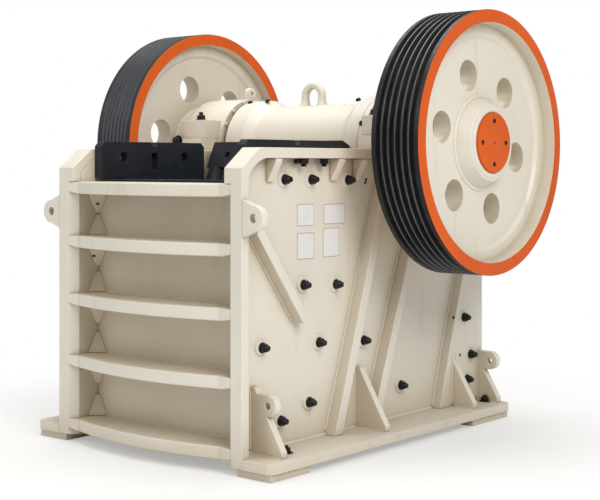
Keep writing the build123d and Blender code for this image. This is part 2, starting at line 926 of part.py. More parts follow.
def upper_cheek_plates():
    """The side liners above: holes for lifting and bolting, a slot and a notch in the top."""
    corner = cheek_corner
    points = [
        (cheek_front, rib_tops[0] + jaw_hook_rise + cheek_gap),
        (cheek_front, cheek_top - corner),
        (cheek_front + corner, cheek_top),
        (cheek_rear - corner, cheek_top),
        (cheek_rear, cheek_top - corner),
        (cheek_rear, cheek_split),
        (fixed_jaw_tip + cheek_gap, cheek_split),
        (fixed_jaw_tip + cheek_gap, rib_tops[0] + jaw_hook_rise + cheek_gap),
    ]
    inner = wall_inner - cheek_thickness
    plate = yz_plate(points, inner, wall_inner)
    middle = (cheek_front + cheek_rear) / 2
    start = inner - cut_overrun
    end = wall_inner + cut_overrun
    hole_z = cheek_top - cheek_hole_drop
    for place in (cheek_front + cheek_hole_in, cheek_rear - cheek_hole_in):
        plate -= disc_x(cheek_hole_radius, start, end, place, hole_z)
    plate -= block(
        start, end,
        middle - cheek_slot_width / 2, middle + cheek_slot_width / 2,
        cheek_top - cheek_slot_drop - cheek_slot_height, cheek_top - cheek_slot_drop,
    )
    plate -= disc_x(cheek_notch_depth, start, end, middle, cheek_top)
    return Compound(children=[plate, left_of(plate)])


def lower_cheek_plates():
    """The side liners below, down to the discharge."""
    top = cheek_split - cheek_gap
    points = [
        (fixed_jaw_tip + cheek_gap, top),
        (cheek_rear, top),
        (lower_cheek_rear_top, top - (cheek_split - lower_cheek_rear_top)),
        (lower_cheek_rear_bottom, lower_cheek_bottom),
        (fixed_jaw_tip + cheek_gap, lower_cheek_bottom),
    ]
    plate = yz_plate(points, wall_inner - cheek_thickness, wall_inner)
    return Compound(children=[plate, left_of(plate)])


toggle_front_y, toggle_front_z = toggle_seat()
toggle_sin = sin(radians(toggle_rise))
toggle_cos = cos(radians(toggle_rise))
toggle_end_y = toggle_front_y + toggle_length * toggle_cos
toggle_end_z = toggle_front_z + toggle_length * toggle_sin
rod_height = toggle_front_z - rod_drop / 2


def toggle_outline(thickness, start, end):
    """The toggle plate's side view with round ends, on its own leaning plane."""
    radius = thickness / 2
    face = Pos((start + end) / 2, 0) * Rectangle(end - start - thickness, thickness)
    face += Pos(start + radius, 0) * Circle(radius)
    face += Pos(end - radius, 0) * Circle(radius)
    return face


def toggle_plane(x):
    """A work plane whose x runs up the toggle from the pitman to the rear seat."""
    return Plane(
        origin=(x, toggle_front_y, toggle_front_z),
        x_dir=(0, toggle_cos, toggle_sin),
        z_dir=(1, 0, 0),
    )


def toggle_plate():
    """The plate between pitman and rear block. Its front end stands clear of the pitman."""
    start = opened_pivot_clearance - toggle_pocket_depth
    face = toggle_outline(toggle_thickness, start, toggle_length)
    return extrude(toggle_plane(-toggle_half_width) * face, toggle_half_width * 2)


def toggle_block():
    """The rear block with the round seat, between the side walls and against the rear wall."""
    z_from = toggle_end_z - toggle_block_height / 2
    z_to = toggle_end_z + toggle_block_height / 2
    start = toggle_end_y - toggle_seat_depth
    body = block(-wall_inner, wall_inner, start, rear_wall_front, z_from, z_to)
    length = toggle_length + fit_clearance
    seat = toggle_outline(toggle_thickness + fit_clearance * 2, length - toggle_length, length)
    cut = toggle_half_width + opened_pivot_clearance
    body -= extrude(toggle_plane(-cut) * seat, cut * 2)
    return body


def tension_rods():
    """The two rods with their end nuts, through the rear wall below the toggle."""
    back = rear_wall_back + rear_rib_depth
    pieces = []
    for side in (-rod_spread, rod_spread):
        front = rear_wall_front - rod_front_reach
        rod = disc_y(rod_radius, front, back + rod_end_reach, side, rod_height)
        spring_end = back + spring_length + spring_washer_thickness
        rod += disc_y(
            spring_washer_radius, spring_end, spring_end + spring_washer_thickness, side, rod_height,
        )
        nut_start = spring_end + spring_washer_thickness
        nut_plane = Plane(origin=(side, nut_start, rod_height), x_dir=(1, 0, 0), z_dir=(0, 1, 0))
        rod += extrude(nut_plane * RegularPolygon(rod_nut_radius, 6), rod_nut_length)
        pieces.append(rod)
    return Compound(children=pieces)


def spring_seats():
    """The brackets on the rear wall that the springs push against."""
    start = rear_wall_back
    end = rear_wall_back + rear_rib_depth + spring_washer_thickness
    bore = rod_radius + fit_clearance
    pieces = []
    for side in (-rod_spread, rod_spread):
        seat = disc_y(spring_washer_radius, start, end, side, rod_height)
        seat -= disc_y(bore, start - cut_overrun, end + cut_overrun, side, rod_height)
        pieces.append(seat)
    return Compound(children=pieces)


def tension_springs():
    """The coil springs between the seats and the rods' washers."""
    back = rear_wall_back + rear_rib_depth + spring_washer_thickness
    pitch = (spring_length - spring_wire * 2) / spring_turns
    pieces = []
    for side in (-rod_spread, rod_spread):
        path = Helix(pitch, pitch * spring_turns, spring_radius)
        start = Plane(origin=path @ 0, z_dir=path % 0)
        coil = sweep(start * RegularPolygon(spring_wire, 6), path=path)
        pieces.append(Pos(side, back + spring_wire, rod_height) * Rot(-90, 0, 0) * coil)
    return Compound(children=pieces)


def save(shape, name):
    """Writes one piece, moved from the axle line to the floor frame."""
    solids = [axle_place * solid for solid in shape.solids()]
    export_step(Compound(solids), "parts/" + name + ".step")


os.makedirs("parts", exist_ok=True)

for name, piece in (
    ("side_wall", side_wall()),
    ("wall_flange", wall_flange()),
    ("side_ribs", side_ribs()),
    ("base_rail", base_rail()),
    ("rail_gussets", rail_gussets()),
    ("bearing_base", bearing_base()),
    ("bearing_cap", bearing_cap()),
):
    save(piece, name + "_right")
    save(left_of(piece), name + "_left")

for name, piece in (
    ("flange_brackets", flange_brackets()),
    ("front_wall", front_wall()),
    ("front_ribs", front_ribs()),
    ("front_corner_gussets", front_corner_gussets()),
    ("rear_wall", rear_wall()),
    ("rear_ribs", rear_ribs()),
    ("foot_pads", foot_pads()),
    ("upper_lugs", upper_lugs()),
    ("bearing_covers", bearing_covers()),
    ("main_bearings", main_bearings()),
    ("fixed_jaw_plate", fixed_jaw_plate()),
    ("upper_cheek_plates", upper_cheek_plates()),
    ("lower_cheek_plates", lower_cheek_plates()),
    ("toggle_plate", toggle_plate()),
    ("toggle_block", toggle_block()),
    ("tension_rods", tension_rods()),
    ("spring_seats", spring_seats()),
    ("tension_springs", tension_springs()),
    ("eccentric_shaft", eccentric_shaft()),
    ("drive_wheel", drive_wheel()),
    ("flywheel", flywheel()),
    ("hub_caps", hub_caps()),
    ("pitman", pitman()),
    ("pitman_covers", pitman_covers()),
    ("lifting_eye", lifting_eye()),
    ("moving_jaw_plate", moving_jaw_plate()),
    ("jaw_retainer", jaw_retainer()),
):
    save(piece, name)
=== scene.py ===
"""Jaw crusher: paint, wear, bolts, weld beads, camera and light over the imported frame."""

import math
import random

import bmesh
import bpy
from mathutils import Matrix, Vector, noise


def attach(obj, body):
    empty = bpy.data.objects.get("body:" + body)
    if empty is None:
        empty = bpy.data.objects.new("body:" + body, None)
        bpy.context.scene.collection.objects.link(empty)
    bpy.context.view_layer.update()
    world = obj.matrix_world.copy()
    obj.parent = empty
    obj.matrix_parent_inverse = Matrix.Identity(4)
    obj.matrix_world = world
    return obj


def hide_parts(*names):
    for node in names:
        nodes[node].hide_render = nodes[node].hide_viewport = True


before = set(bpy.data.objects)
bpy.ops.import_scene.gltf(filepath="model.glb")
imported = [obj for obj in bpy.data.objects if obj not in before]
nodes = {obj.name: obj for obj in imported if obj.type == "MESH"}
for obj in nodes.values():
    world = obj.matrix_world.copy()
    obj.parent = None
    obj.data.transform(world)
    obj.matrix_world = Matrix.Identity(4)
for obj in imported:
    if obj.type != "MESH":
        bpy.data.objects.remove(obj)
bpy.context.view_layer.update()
chance = random.Random(7)

# Sizes repeated from the part's source, in millimetres around the axle line
AXLE = (0.0, 260.5, 1473.0)
WALL_OUTER = 550.0
WALL_INNER = 510.0
FRAME_HALF_WIDTH = 617.0
POST_FRONT = -1308.0
RAIL_TOP = -1395.0
FLANGE_UNDER = -78.0
PAD_FACE = 605.0
EAR_TOP = 138.0
CAP_FACE = 1088.0
COVER_FACE = 816.0
PITMAN_COVER_FACE = 476.0
PITMAN_DROP = -12.0
FRONT_WALL_FACE = -1146.0
RIB_HEIGHT = 60.0
RIB_TOPS = (-191.0, -455.0, -740.0, -1042.0, -1355.0)
REAR_WALL_BACK = 340.0
REAR_RIB_END = 610.0
REAR_RIB_HEIGHT = 40.0
REAR_RIB_TOPS = (-560.0, -785.0, -1010.0, -1235.0)
WHEEL_RADIUS = 650.0
RIM_INNER = 587.0
WHEEL_INNER_FACE = 823.5
WHEEL_OUTER_FACE = 1090.0
JAW_LEAN = math.radians(24)
JAW_TOP_Z = -115.0
JAW_PASSES_Y = -483.0
JAW_PASSES_Z = -179.0

# Fastener places on a side wall, as (y, z)
WALL_BOLTS = (
    (-956, -175), (-764, -177), (-485, -182),
    (-821, -668), (-580, -682),
    (-1111, -931), (-708, -948), (-360, -974),
    (-781, -1221), (-984, -1278), (-48, -1236),
)
PAD_BOLTS = ((465, -931), (528, -1137), (492, -1267))
HANGING_BOLTS = (-853, -705)
HANGING_BOLT_X = 588
SIDE_NUT_X = 580
SIDE_NUT_DROP = 14
EAR_NUT_X = 602
EAR_NUT_Y = 320
LOCK_BOLT_X = 722
LOCK_BOLT_Y = 378
LOCK_BOLT_Z = 25
COVER_BOLT_CIRCLE = 190
COVER_BOLT_COUNT = 10
RING_BOLT_CIRCLE = 246
RING_BOLT_DEGREES = (28, 50, 74, 106, 130, 152)
COLLAR_RADIUS = 261
PITMAN_BOLT_CIRCLE = 232
PITMAN_BOLT_COUNT = 12
CAP_SCREW_CIRCLE = 106
CAP_SCREW_COUNT = 4
RETAINER_SCREW_X = 318
RAIL_BOLTS = ((665, -1070), (665, 587))
BLANK_PLATES = (
    (-857, -733, -292, -395),
    (-661, -499, -296, -392),
    (-857, -733, -427, -550),
    (-666, -543, -410, -549),
)


def at(x, y, z):
    """A place around the axle line, in millimetres, as metres in the shared frame."""
    return Vector(((x + AXLE[0]) / 1000, (y + AXLE[1]) / 1000, (z + AXLE[2]) / 1000))


# Edge treatment of the CAD nodes, in metres and radians
WELD_DISTANCE = 0.00002
FLAT_ANGLE = math.radians(1.0)
EDGE_ANGLE = math.radians(28)
USUAL_EDGE = 0.0035

# Weld beads: sides of a bead, its step in metres and how far its ends shrink
BEAD_SIDES = 7
BEAD_STEP = 0.014
BEAD_END_SHARE = 0.45


# Materials


class Shader:
    """A small helper that adds and links shader nodes."""

    def __init__(self, name):
        self.material = bpy.data.materials.new(name)
        self.material.use_nodes = True
        self.tree = self.material.node_tree
        self.surface = self.tree.nodes["Principled BSDF"]
        self.place = self.tree.nodes.new("ShaderNodeTexCoord").outputs["Object"]

    def node(self, kind, **values):
        made = self.tree.nodes.new(kind)
        for key, value in values.items():
            setattr(made, key, value)
        return made

    def link(self, out, into):
        self.tree.links.new(out, into)

    def scaled(self, factors):
        """Object coordinates, stretched by a factor on each axis."""
        mapping = self.node("ShaderNodeMapping")
        mapping.inputs["Scale"].default_value = factors
        self.link(self.place, mapping.inputs["Vector"])
        return mapping.outputs["Vector"]

    def noise(self, scale, detail=4.0, rough=0.55, stretch=None):
        made = self.node("ShaderNodeTexNoise")
        made.inputs["Scale"].default_value = scale
        made.inputs["Detail"].default_value = detail
        made.inputs["Roughness"].default_value = rough
        self.link(self.scaled(stretch) if stretch else self.place, made.inputs["Vector"])
        return made.outputs["Fac"]

    def ramp(self, value, low, high, start=0.0, end=1.0):
        """Maps low..high of a value onto start..end, held at both ends."""
        made = self.node("ShaderNodeMapRange")
        made.interpolation_type = "SMOOTHSTEP"
        made.inputs["From Min"].default_value = low
        made.inputs["From Max"].default_value = high
        made.inputs["To Min"].default_value = start
        made.inputs["To Max"].default_value = end
        self.link(value, made.inputs["Value"])
        return made.outputs["Result"]

    def math(self, operation, first, second):
        made = self.node("ShaderNodeMath", operation=operation)
        for socket, value in zip(made.inputs, (first, second)):
            if isinstance(value, (int, float)):
                socket.default_value = value
            else:
                self.link(value, socket)
        return made.outputs[0]

    def occlusion(self, distance):
        """How open the surroundings are: 1 in the open, lower in corners."""
        made = self.node("ShaderNodeAmbientOcclusion")
        made.samples = 6
        made.inputs["Distance"].default_value = distance
        return made.outputs["AO"]

    def axis(self, name):
        made = self.node("ShaderNodeSeparateXYZ")
        self.link(self.place, made.inputs[0])
        return made.outputs[name]

    def blend(self, amount, first, second):
        """Mixes two colours by an amount from 0 to 1."""
        made = self.node("ShaderNodeMix", data_type="RGBA")
        self.link(amount, made.inputs["Factor"])
        for socket, value in ((made.inputs["A"], first), (made.inputs["B"], second)):
            if isinstance(value, tuple):
                socket.default_value = (*value, 1)
            else:
                self.link(value, socket)
        return made.outputs["Result"]

    def colour(self, out):
        self.link(out, self.surface.inputs["Base Color"])

    def roughness(self, out):
        self.link(out, self.surface.inputs["Roughness"])

    def bump(self, *layers):
        """Stacks (height, strength, distance in metres) layers into the surface normal."""
        normal = None
        for height, strength, distance in layers:
            made = self.node("ShaderNodeBump")
            made.inputs["Strength"].default_value = strength
            made.inputs["Distance"].default_value = distance
            self.link(height, made.inputs["Height"])
            if normal:
                self.link(normal, made.inputs["Normal"])
            normal = made.outputs["Normal"]
        self.link(normal, self.surface.inputs["Normal"])


def paint(name, colour, shade, dirt_and_shade, dirt_amount=0.5, gloss=0.42, grain=0.25, cast=0.3, painted_shade=None):
    """Sprayed paint over steel: cloudy tone, faint streaks, dust low down, orange peel; given a shade
    colour, painted shade in corners and bays, and crease darkening that is partly dirt and partly painted
    shade.
    """
    s = Shader(name)
    cloud = s.ramp(s.noise(1.7, 3.0), 0.34, 0.68)
    tone = s.blend(cloud, shade, colour)
    streak = s.noise(2.2, 5.0, 0.6, stretch=(5.0, 5.0, 0.55))
    streak_amount = s.ramp(streak, 0.56, 0.78, 0.0, 0.30 * dirt_amount)
    tone = s.blend(streak_amount, tone, dirt_and_shade)
    low = s.ramp(s.axis("Z"), 0.20, 0.01, 0.0, 0.07)
    patch = s.ramp(s.noise(9.0, 6.0, 0.65), 0.44, 0.70)
    tone = s.blend(s.math("MULTIPLY", low, patch), tone, dirt_and_shade)
    fleck = s.ramp(s.noise(70.0, 3.0, 0.7), 0.70, 0.78, 0.0, 0.35 * dirt_amount)
    tone = s.blend(fleck, tone, dirt_and_shade)
    if painted_shade:
        # Painted shade: corners, bays and the spaces under ribs darken towards a warm brown by ambient
        # occlusion
        tone = s.blend(s.ramp(s.occlusion(0.34), 0.94, 0.34, 0.0, 0.60), tone, painted_shade)
        # Partly cavity dirt, partly painted shade: tight creases and joints darken towards the dirt colour
        # by a short ambient occlusion
        tone = s.blend(s.ramp(s.occlusion(0.035), 0.85, 0.35, 0.0, 0.34), tone, dirt_and_shade)
    s.colour(tone)
    s.roughness(s.ramp(s.noise(14.0, 5.0), 0.3, 0.7, gloss - 0.07, gloss + 0.10))
    s.bump(
        (s.noise(5.5, 3.0), cast, 0.0040),
        (s.noise(34.0, 3.0), cast * 0.5, 0.0012),
        (s.noise(420.0, 2.0), grain, 0.0002),
    )
    return s


def cast_black(name, colour, shade, edge, gloss=0.4):
    """Dark coated steel with a cloudy sheen, rubbed marks and a fine cast skin."""
    s = Shader(name)
    tone = s.blend(s.ramp(s.noise(2.6, 4.0), 0.35, 0.68), shade, colour)
    rub = s.ramp(s.noise(11.0, 7.0, 0.72), 0.60, 0.74, 0.0, 0.55)
    tone = s.blend(rub, tone, edge)
    fine = s.ramp(s.noise(120.0, 3.0, 0.7), 0.66, 0.76, 0.0, 0.5)
    s.colour(s.blend(fine, tone, edge))
    s.roughness(s.ramp(s.noise(18.0, 5.0), 0.3, 0.7, gloss - 0.08, gloss + 0.14))
    s.bump((s.noise(9.0, 3.0), 0.25, 0.003), (s.noise(260.0, 3.0), 0.35, 0.0004))
    return s


def turned(name, colour, shade, gloss, lines, metal=0.0, strength=0.3):
    """A lathe-turned surface: fine rings across the axle's direction."""
    s = Shader(name)
    ring = s.noise(lines, 3.0, 0.6, stretch=(1.0, 0.012, 0.012))
    tone = s.blend(s.ramp(s.noise(3.0, 5.0), 0.34, 0.68), shade, colour)
    tone = s.blend(s.ramp(ring, 0.5, 0.75, 0.0, 0.5), tone, shade)
    s.colour(tone)
    s.roughness(s.ramp(s.noise(26.0, 4.0), 0.3, 0.7, gloss - 0.06, gloss + 0.12))
    s.bump((ring, strength, 0.0006), (s.noise(180.0, 3.0), 0.2, 0.0003))
    s.surface.inputs["Metallic"].default_value = metal
    return s


CREAM = (0.755, 0.718, 0.635)
CREAM_SHADE = (0.725, 0.684, 0.596)
# The cream's dirt colour below also serves as painted shade in tight creases
CREAM_DIRT_AND_SHADE = (0.300, 0.235, 0.150)
# Painted shade: the warm brown that corners and bays of the cream paint darken towards
CREAM_PAINTED_SHADE = (0.480, 0.385, 0.245)

cream = paint("cream_enamel", CREAM, CREAM_SHADE, CREAM_DIRT_AND_SHADE, painted_shade=CREAM_PAINTED_SHADE)
web_cream = paint(
    "wheel_web_enamel", CREAM, CREAM_SHADE, CREAM_DIRT_AND_SHADE, 0.8, 0.36, 0.25, 0.45, painted_shade=CREAM_PAINTED_SHADE
)
orange = paint(
    "orange_enamel", (0.680, 0.104, 0.0040), (0.620, 0.090, 0.0034), (0.30, 0.05, 0.012),
    0.5, 0.40, 0.2, 0.1
)
liner = cast_black(
    "liner_black", (0.0150, 0.0185, 0.0250), (0.0095, 0.0120, 0.0165), (0.040, 0.046, 0.055)
)
teeth = cast_black(
    "jaw_teeth_black", (0.0120, 0.0135, 0.0170), (0.0065, 0.0075, 0.0100), (0.026, 0.028, 0.031), 0.66
)
tread = turned("tread_black", (0.0120, 0.0128, 0.0145), (0.0070, 0.0074, 0.0085), 0.36, 90.0)
tread_fine = turned(
    "flywheel_tread", (0.0290, 0.0340, 0.0420), (0.0190, 0.0225, 0.0290), 0.42, 110.0
)
bright = turned("bright_steel", (0.56, 0.56, 0.55), (0.40, 0.40, 0.40), 0.30, 140.0, 1.0)
oxide = cast_black(
    "bolt_black", (0.0105, 0.0110, 0.0125), (0.0065, 0.0068, 0.0080), (0.045, 0.046, 0.050), 0.36
)
spring_paint = paint(
    "spring_enamel", (0.040, 0.042, 0.046), (0.028, 0.030, 0.034), (0.10, 0.08, 0.06), 0.6, 0.34
)
plate_blank = paint(
    "blank_plate", (0.760, 0.765, 0.765), (0.750, 0.754, 0.752), (0.45, 0.40, 0.33), 0.1, 0.34, 0.05, 0.02
)
plate_rim = paint(
    "plate_rim", (0.36, 0.38, 0.41), (0.33, 0.35, 0.38), (0.20, 0.20, 0.20), 0.2, 0.40, 0.05, 0.02
)
# Painted highlight: lighter colours for the tread's ridge crests, standing for thin bright lines of light
ridge_highlight = turned("tread_ridge_highlight", (0.085, 0.090, 0.096), (0.040, 0.042, 0.046), 0.30, 90.0)
fine_ridge_highlight = turned("flywheel_ridge_highlight", (0.055, 0.061, 0.069), (0.035, 0.039, 0.045), 0.36, 110.0)
# Painted shade: the near-black inside of small holes, put on discs over the surface
hole_shade = cast_black("hole_shade", (0.030, 0.027, 0.022), (0.016, 0.014, 0.012), (0.05, 0.045, 0.035), 0.6)

for coated, weight, coat_roughness in ((cream, 0.12, 0.25), (web_cream, 0.18, 0.22), (orange, 0.08, 0.3)):
    coated.surface.inputs["Coat Weight"].default_value = weight
    coated.surface.inputs["Coat Roughness"].default_value = coat_roughness
for dull in (orange, liner, teeth, tread, tread_fine, oxide):
    dull.surface.inputs["Specular IOR Level"].default_value = 0.32

NODE_MATERIALS = {
    "wheel_paint": web_cream,
    "orange_paint": orange,
    "wear_steel": liner,
    "bright_steel": bright,
    "black_steel": oxide,
    "cream_paint": cream,
}
OWN_MATERIALS = {
    "moving_jaw_plate": teeth,
    "fixed_jaw_plate": teeth,
    "tension_springs": spring_paint,
}


def dress_node(name, node, width):
    """Gives a CAD node its material, and soft edges that leave its own mesh as it is."""
    mesh = node.data
    slot = mesh.materials[0].name.split(".")[0]
    shader = OWN_MATERIALS.get(name) or NODE_MATERIALS[slot]
    mesh.materials.clear()
    mesh.materials.append(shader.material)
    if "custom_normal" in mesh.attributes:
        mesh.attributes.remove(mesh.attributes["custom_normal"])
    for polygon in mesh.polygons:
        polygon.use_smooth = True
    weld = node.modifiers.new("weld", "WELD")
    weld.merge_threshold = WELD_DISTANCE
    flat = node.modifiers.new("flat", "DECIMATE")
    flat.decimate_type = "DISSOLVE"
    flat.angle_limit = FLAT_ANGLE
    flat.delimit = {"MATERIAL"}
    bevel = node.modifiers.new("bevel", "BEVEL")
    bevel.width = width
    bevel.segments = 2
    bevel.limit_method = "ANGLE"
    bevel.angle_limit = EDGE_ANGLE
    bevel.harden_normals = False
    normals = node.modifiers.new("normals", "WEIGHTED_NORMAL")
    normals.keep_sharp = True
    normals.weight = 80


EDGE_WIDTH = {
    "wall_flange_right": 0.009,
    "wall_flange_left": 0.009,
    "front_ribs": 0.008,
    "side_ribs_right": 0.006,
    "side_ribs_left": 0.006,
    "base_rail_right": 0.006,
    "base_rail_left": 0.006,
    "rail_gussets_right": 0.007,
    "rail_gussets_left": 0.007,
    "flange_brackets": 0.007,
    "upper_cheek_plates": 0.007,
    "bearing_base_right": 0.010,
    "bearing_base_left": 0.010,
    "bearing_cap_right": 0.010,
    "bearing_cap_left": 0.010,
    "lifting_eye": 0.009,
    "pitman": 0.005,
    "pitman_covers": 0.004,
    "upper_lugs": 0.011,
    "drive_wheel": 0.0025,
    "flywheel": 0.0020,
    "hub_caps": 0.0012,
    "main_bearings": 0.001,
    "tension_springs": 0.001,
    "front_corner_gussets": 0.014,
    "moving_jaw_plate": 0.004,
    "fixed_jaw_plate": 0.004,
}

for node_name, node_object in nodes.items():
    dress_node(node_name, node_object, EDGE_WIDTH.get(node_name, USUAL_EDGE))


def paint_wheel(node, tread_shader, ridge_highlight_shader):
    """Orange on the rim's flat faces, black on the grooved tread with painted highlight on its ridge crests,
    cream elsewhere.
    """
    mesh = node.data
    for shader in (orange, tread_shader, ridge_highlight_shader):
        mesh.materials.append(shader.material)
    orange_slot, tread_slot, ridge_slot = 1, 2, 3
    slack, flat_enough, wheel_start = 0.001, 0.99, 0.822
    tread_depth, ridge_depth, ridge_reach = 0.030, 0.002, 0.108
    inner = WHEEL_INNER_FACE / 1000
    outer = WHEEL_OUTER_FACE / 1000
    middle = (WHEEL_INNER_FACE + WHEEL_OUTER_FACE) / 2000
    rim = RIM_INNER / 1000
    edge = WHEEL_RADIUS / 1000
    for polygon in mesh.polygons:
        radii = []
        for index in polygon.vertices:
            place = mesh.vertices[index].co - at(0, 0, 0)
            radii.append(math.hypot(place.y, place.z))
        nearest = min(radii)
        across = abs(polygon.center.x)
        flat = abs(polygon.normal.x) > flat_enough
        if nearest > rim - slack and flat and across > wheel_start:
            if abs(across - outer) < slack or abs(across - inner) < slack:
                polygon.material_index = orange_slot
        elif nearest > edge - tread_depth:
            # The crests near the middle take the painted highlight colour
            on_ridge = nearest > edge - ridge_depth and abs(across - middle) < ridge_reach
            polygon.material_index = ridge_slot if on_ridge else tread_slot


paint_wheel(nodes["drive_wheel"], tread, ridge_highlight)
paint_wheel(nodes["flywheel"], tread_fine, fine_ridge_highlight)


# Small pieces over the solids


def skin(bm, loops):
    """Joins equal rings of vertices into a tube with a face at each end."""
    count = len(loops[0])
    for lower, upper in zip(loops[:-1], loops[1:]):
        for i in range(count):
            j = (i + 1) % count
            bm.faces.new((lower[i], lower[j], upper[j], upper[i]))
    bm.faces.new(list(reversed(loops[0])))
    bm.faces.new(loops[-1])


def lathe(bm, base, axis, rings, sides, turn=0.0):
    """A closed stack of polygon rings along an axis: rings are (radius, height) in millimetres."""
    axis = Vector(axis).normalized()
    side = axis.orthogonal().normalized()
    other = axis.cross(side)
    loops = []
    for radius, height in rings:
        loop = []
        for i in range(sides):
            angle = turn + math.tau * i / sides
            spoke = side * math.cos(angle) + other * math.sin(angle)
            loop.append(bm.verts.new(base + (spoke * radius + axis * height) / 1000))
        loops.append(loop)
    skin(bm, loops)


def flange_nut(bm, base, axis, size=1.0, stud=14.0):
    """A flanged hex nut with chamfered corners on a rounded stud end."""
    turn = chance.uniform(0, math.tau)
    s = size
    lathe(bm, base, axis, [(25 * s, -1), (26 * s, 1 * s), (26 * s, 5 * s), (24 * s, 7 * s)], 28, turn)
    nut = [(22.5 * s, 6 * s), (23 * s, 8 * s), (23 * s, 24 * s), (20.8 * s, 27 * s)]
    lathe(bm, base, axis, nut, 6, turn)
    thread = [(14.5 * s, 20 * s)]
    height = 27.0
    while height < 27 + stud - 3:
        thread.append((14.5 * s, height * s))
        thread.append((13.2 * s, (height + 1.2) * s))
        height += 2.8
    thread.append((14.5 * s, height * s))
    thread.append((13.0 * s, (height + 2.0) * s))
    lathe(bm, base, axis, thread, 16, turn)


def hex_head(bm, base, axis, across=18.0, height=13.0, washer=0.0):
    """A hex bolt head with a chamfered top, on a round washer where one is given."""
    turn = chance.uniform(0, math.tau)
    start = 0.0
    if washer:
        lathe(bm, base, axis, [(washer - 1, -1), (washer, 0.8), (washer, 3.2), (washer - 1, 4)], 24, turn)
        start = 3.5
    rings = [
        (across * 0.94, start - 1),
        (across, start + 1),
        (across, start + height - 2.5),
        (across * 0.86, start + height),
    ]
    lathe(bm, base, axis, rings, 6, turn)


def boss(bm, base, axis, radius=38.0, height=10.0):
    """A low round seat with a soft shoulder."""
    rings = [
        (radius + 4, -1), (radius + 3, 1.0), (radius + 1, 3.0),
        (radius - 1, height - 2.5), (radius - 4, height - 0.6), (radius - 7, height),
    ]
    lathe(bm, base, axis, rings, 32)


def bead(bm, points, radius=6.0, seed=0.0):
    """A weld bead: a slightly uneven round seam along a line of places, in millimetres."""
    places = [at(*point) for point in points]
    samples = []
    for start, end in zip(places[:-1], places[1:]):
        count = max(2, int((end - start).length / BEAD_STEP))
        for i in range(count):
            samples.append(start.lerp(end, i / count))
    samples.append(places[-1])
    loops = []
    for i, place in enumerate(samples):
        ahead = samples[min(i + 1, len(samples) - 1)]
        behind = samples[max(i - 1, 0)]
        along = (ahead - behind).normalized()
        side = along.orthogonal().normalized()
        other = along.cross(side)
        wobble = noise.noise(place * 60 + Vector((seed, 0, 0)))
        swell = 1 + 0.20 * wobble + 0.07 * math.sin(i * 1.9)
        if i in (0, len(samples) - 1):
            swell *= BEAD_END_SHARE
        loop = []
        for k in range(BEAD_SIDES):
            angle = math.tau * k / BEAD_SIDES
            spoke = side * math.cos(angle) + other * math.sin(angle)
            loop.append(bm.verts.new(place + spoke * radius * swell / 1000))
        loops.append(loop)
    skin(bm, loops)


def prism(bm, points, x_from, x_to):
    """A closed (y, z) outline between two x places."""
    lower = [bm.verts.new(at(x_from, y, z)) for y, z in points]
    upper = [bm.verts.new(at(x_to, y, z)) for y, z in points]
    count = len(points)
    for i in range(count):
        j = (i + 1) % count
        bm.faces.new((lower[i], lower[j], upper[j], upper[i]))
    bm.faces.new(upper)
    bm.faces.new(list(reversed(lower)))


def turned_ring(bm, profile, drop=0.0, sides=96):
    """A closed (x, radius) profile turned about the axle line."""
    loops = []
    for i in range(sides):
        angle = math.tau * i / sides
        loop = []
        for x, radius in profile:
            loop.append(bm.verts.new(at(x, radius * math.cos(angle), drop + radius * math.sin(angle))))
        loops.append(loop)
    count = len(profile)
    for i in range(sides):
        here, ahead = loops[i], loops[(i + 1) % sides]
        for k in range(count):
            j = (k + 1) % count
            bm.faces.new((here[k], here[j], ahead[j], ahead[k]))


def finish_piece(bm, name, shader, body, slot, smooth=False, bevel=0.0):
    """Turns a drawn mesh into a named piece that rides on a body."""
    bmesh.ops.recalc_face_normals(bm, faces=bm.faces[:])
    mesh = bpy.data.meshes.new(name)
    bm.to_mesh(mesh)
    bm.free()
    piece = bpy.data.objects.new(name, mesh)
    bpy.context.scene.collection.objects.link(piece)
    mesh.materials.append(shader.material)
    for polygon in mesh.polygons:
        polygon.use_smooth = True
    if not smooth:
        mesh.set_sharp_from_angle(angle=math.radians(32))
    if bevel:
        modifier = piece.modifiers.new("bevel", "BEVEL")
        modifier.width = bevel
        modifier.segments = 2
        modifier.limit_method = "ANGLE"
        modifier.angle_limit = math.radians(35)
    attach(piece, body)
    return piece


def both_sides(build, name, shader, body, slot, **options):
    """Builds one piece for each side: build gets the mesh and +1 for right or -1 for left."""
    for label, side in (("right", 1), ("left", -1)):
        bm = bmesh.new()
        build(bm, side)
        finish_piece(bm, name + "_" + label, shader, body, slot, **options)


def wall_bolt_bosses(bm, side):
    for y, z in WALL_BOLTS:
        boss(bm, at(side * WALL_OUTER, y, z), (side, 0, 0))
    for y, z in PAD_BOLTS:
        boss(bm, at(side * PAD_FACE, y, z), (side, 0, 0), 33, 4)


def wall_bolt_nuts(bm, side):
    for y, z in WALL_BOLTS:
        flange_nut(bm, at(side * (WALL_OUTER + 9.5), y, z), (side, 0, 0), 0.94, 15.0)
    for y, z in PAD_BOLTS:
        flange_nut(bm, at(side * (PAD_FACE + 3.5), y, z), (side, 0, 0), 0.94, 15.0)


def hanging_bolts(bm, side):
    """The clamp bolts that hang under the top flange. The first has a side nut."""
    for y in HANGING_BOLTS:
        flange_nut(bm, at(side * HANGING_BOLT_X, y, FLANGE_UNDER), (0, 0, -1), 0.95, 12.0)
    y = HANGING_BOLTS[0]
    z = FLANGE_UNDER - SIDE_NUT_DROP
    hex_head(bm, at(side * SIDE_NUT_X, y - 34, z), (0, -1, 0), 14, 18)
    lathe(bm, at(side * SIDE_NUT_X, y - 36, z), (0, 1, 0), [(7, 0), (7.4, 2), (7, 40)], 12)


